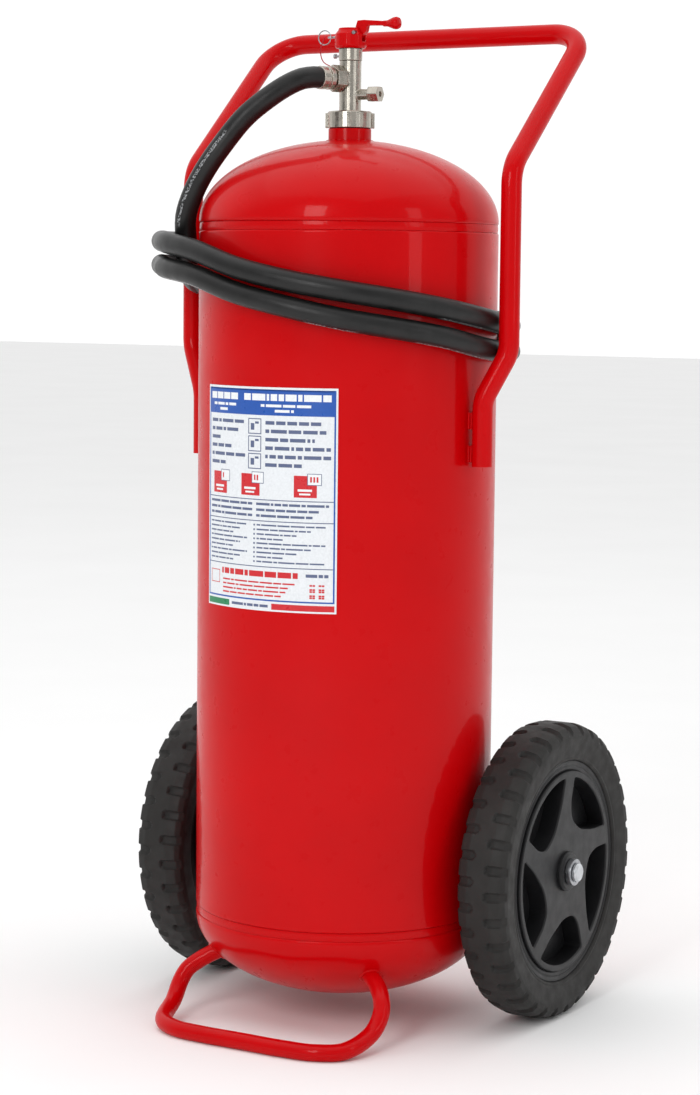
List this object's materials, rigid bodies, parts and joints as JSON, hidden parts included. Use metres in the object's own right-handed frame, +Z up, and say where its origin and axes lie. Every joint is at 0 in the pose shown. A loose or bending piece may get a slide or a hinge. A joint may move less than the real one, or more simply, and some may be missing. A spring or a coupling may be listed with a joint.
{
  "type": "wheeled fire extinguisher",
  "caption": "Wheeled dry-powder fire extinguisher: upright vessel on wheels and a foot loop, with push handle, lever valve and wrapped discharge hose.",
  "frame": {"origin": "on the floor, under the middle of the object's box", "axes": "+Z up along the vessel, -Y the front where the foot loop is, +X to the right seen from the front"},
  "size_m": [0.608, 0.5798, 1.3394],
  "materials": {
    "vessel_paint": "gloss",
    "nickel": "satin",
    "zinc": "satin",
    "steel": "satin",
    "hose_rubber": "satin",
    "tyre_rubber": "matte",
    "black_plastic": "satin",
    "white_nylon": "matte",
    "label_paper": "gloss"
  },
  "bodies": {
    "frame": {"vessel_shell": "vessel_paint", "upper_weld_seam": "vessel_paint", "lower_weld_seam": "vessel_paint", "top_dome": "vessel_paint", "bottom_dome": "vessel_paint", "neck_collar": "vessel_paint", "push_handle": "vessel_paint", "foot_loop": "vessel_paint", "lever_head": "vessel_paint", "seal_cord": "vessel_paint", "gun_holder": "vessel_paint", "weld_tab_left_lower": "vessel_paint", "weld_tab_left_upper": "vessel_paint", "weld_tab_right_lower": "vessel_paint", "weld_tab_right_upper": "vessel_paint", "axle_bracket_left": "vessel_paint", "axle_bracket_right": "vessel_paint", "coupling_nut": "nickel", "valve_body": "nickel", "gland_nut": "nickel", "side_port_cap": "nickel", "hose_swivel_nut": "nickel", "hose_ferrule": "nickel", "gun_ferrule": "nickel", "gland_screw": "steel", "lever_pivot_pin": "steel", "gun_trigger_pin": "steel", "stub_axle_left": "zinc", "inner_washer_left": "zinc", "outer_washer_left": "zinc", "axle_cap_left": "zinc", "stub_axle_right": "zinc", "inner_washer_right": "zinc", "outer_washer_right": "zinc", "axle_cap_right": "zinc", "discharge_hose": "hose_rubber", "neck_gasket": "black_plastic", "gun_body": "black_plastic", "gun_nozzle": "black_plastic", "dip_tube": "white_nylon", "instruction_label": "label_paper"},
    "lever": {"valve_lever": "vessel_paint"},
    "spindle": {"valve_spindle": "steel", "valve_plug": "black_plastic"},
    "pin": {"safety_pin": "steel", "pin_ring": "steel"},
    "wheel_left": {"tyre_left": "tyre_rubber", "wheel_rim_left": "black_plastic", "hub_bush_left": "white_nylon"},
    "wheel_right": {"tyre_right": "tyre_rubber", "wheel_rim_right": "black_plastic", "hub_bush_right": "white_nylon"},
    "trigger": {"gun_trigger": "black_plastic"}
  },
  "joints": [
    {"name": "wheel_left_spin", "type": "hinge", "parent": "frame", "child": "wheel_left", "pos_m": [-0.253, 0.08988, 0.2], "axis": [1, 0, 0], "continuous": true},
    {"name": "wheel_right_spin", "type": "hinge", "parent": "frame", "child": "wheel_right", "pos_m": [0.253, 0.08988, 0.2], "axis": [1, 0, 0], "continuous": true},
    {"name": "valve_lever_lift", "type": "hinge", "parent": "frame", "child": "lever", "pos_m": [0.013, -0.02412, 1.317], "axis": [0, -1, 0], "range_deg": [0, 90]},
    {"name": "spindle_push", "type": "slide", "parent": "frame", "child": "spindle", "axis": [0, 0, -1], "range_m": [0, 0.004]},
    {"name": "safety_pin_pull", "type": "slide", "parent": "frame", "child": "pin", "axis": [-1, 0, 0], "range_m": [0, 0.03]},
    {"name": "gun_trigger_squeeze", "type": "hinge", "parent": "frame", "child": "trigger", "pos_m": [-0.10039, 0.22437, 0.81], "axis": [-0.9272, -0.3746, 0], "range_deg": [0, 6.5], "stiffness_Nm_per_rad": 0.6, "springref_deg": -5.73}
  ],
  "couplings": [
    {"joint": "spindle_push", "follows": "valve_lever_lift", "m_per_rad": 0.0025}
  ]
}
